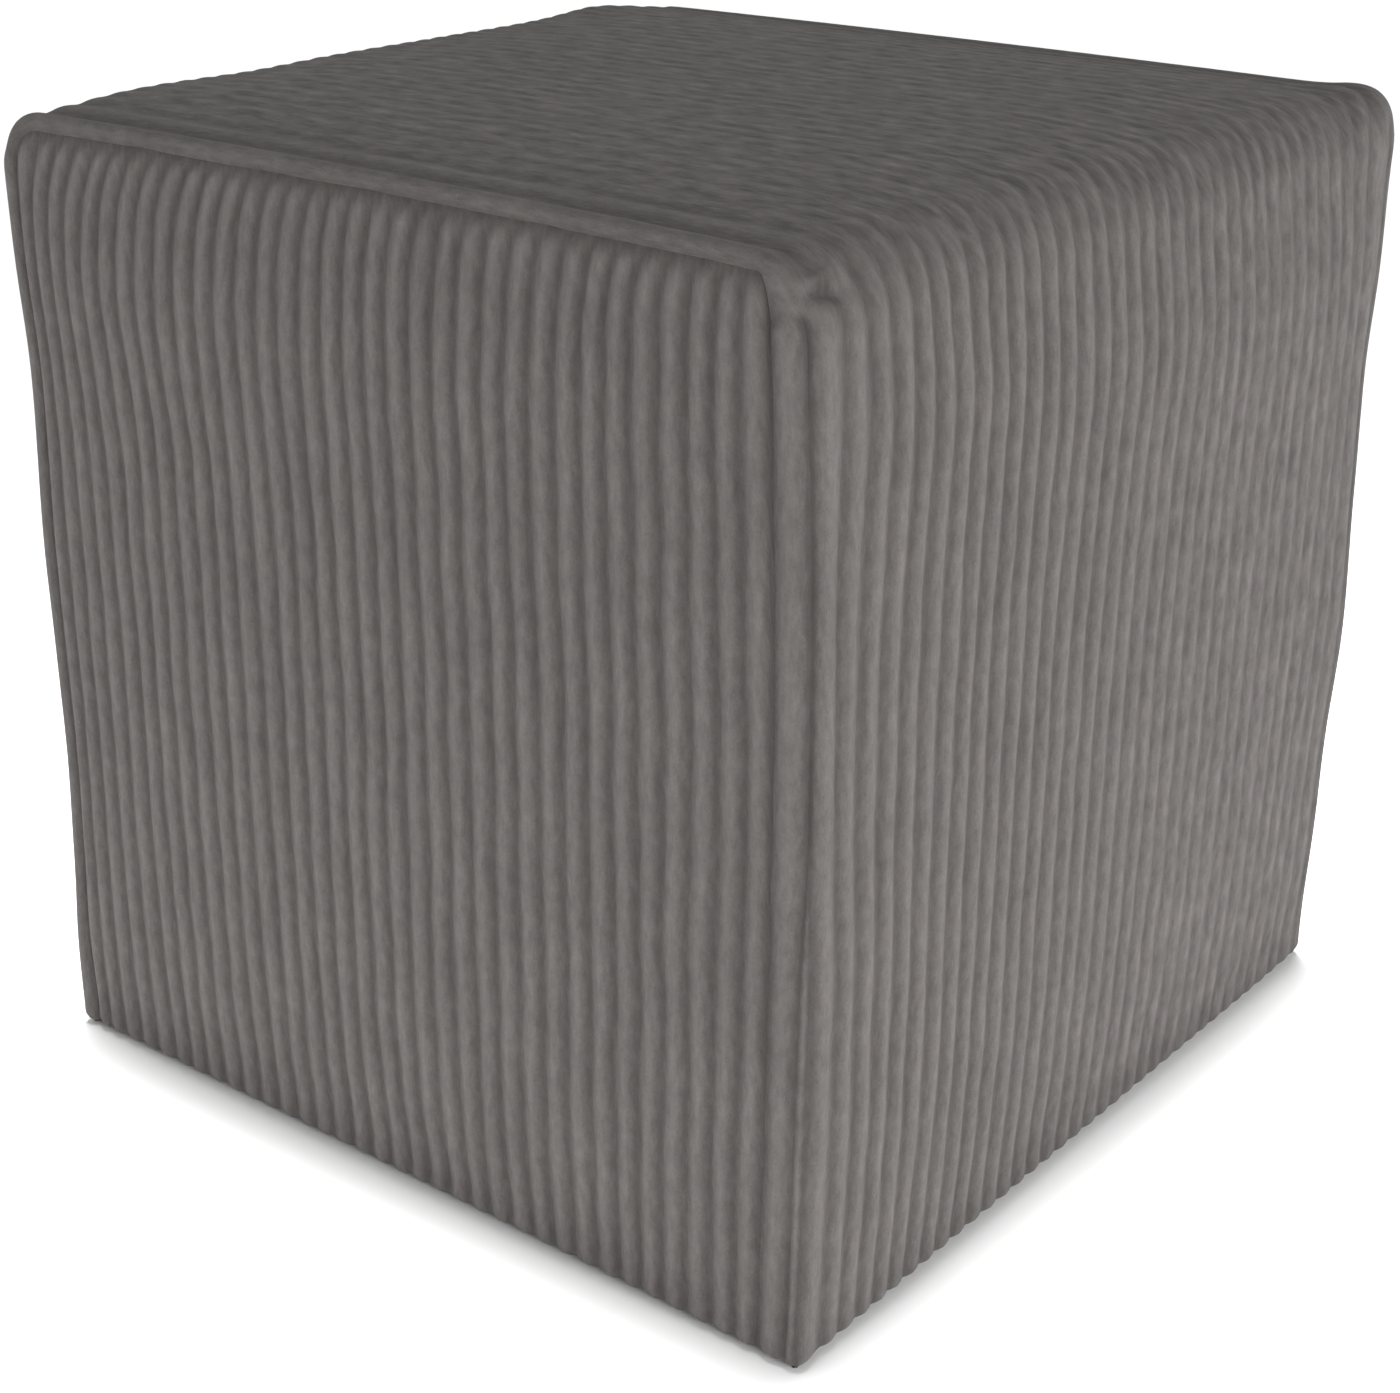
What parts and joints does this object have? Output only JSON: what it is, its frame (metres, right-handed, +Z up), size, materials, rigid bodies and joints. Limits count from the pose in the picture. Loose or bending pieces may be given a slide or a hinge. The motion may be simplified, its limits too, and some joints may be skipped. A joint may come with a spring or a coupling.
{
  "type": "cube pouf stool",
  "caption": "Cube-shaped stuffed pouf stool in a wide-ribbed corduroy cover with sewn end panels and a flat underside.",
  "frame": {"origin": "middle of the underside, on the floor", "axes": "+Z up, -Y out of the front end panel, +X out of the right side of the long strip"},
  "size_m": [0.406, 0.4092, 0.4079],
  "materials": {
    "corduroy": "warm grey corduroy with ribs 11 mm wide, soft matt pile",
    "base_cloth": "plain matt woven cloth, dark grey"
  },
  "bodies": {
    "root": {"stuffed_strip": "corduroy", "end_panel_front": "corduroy", "end_panel_back": "corduroy", "base_panel": "base_cloth"}
  },
  "joints": []
}
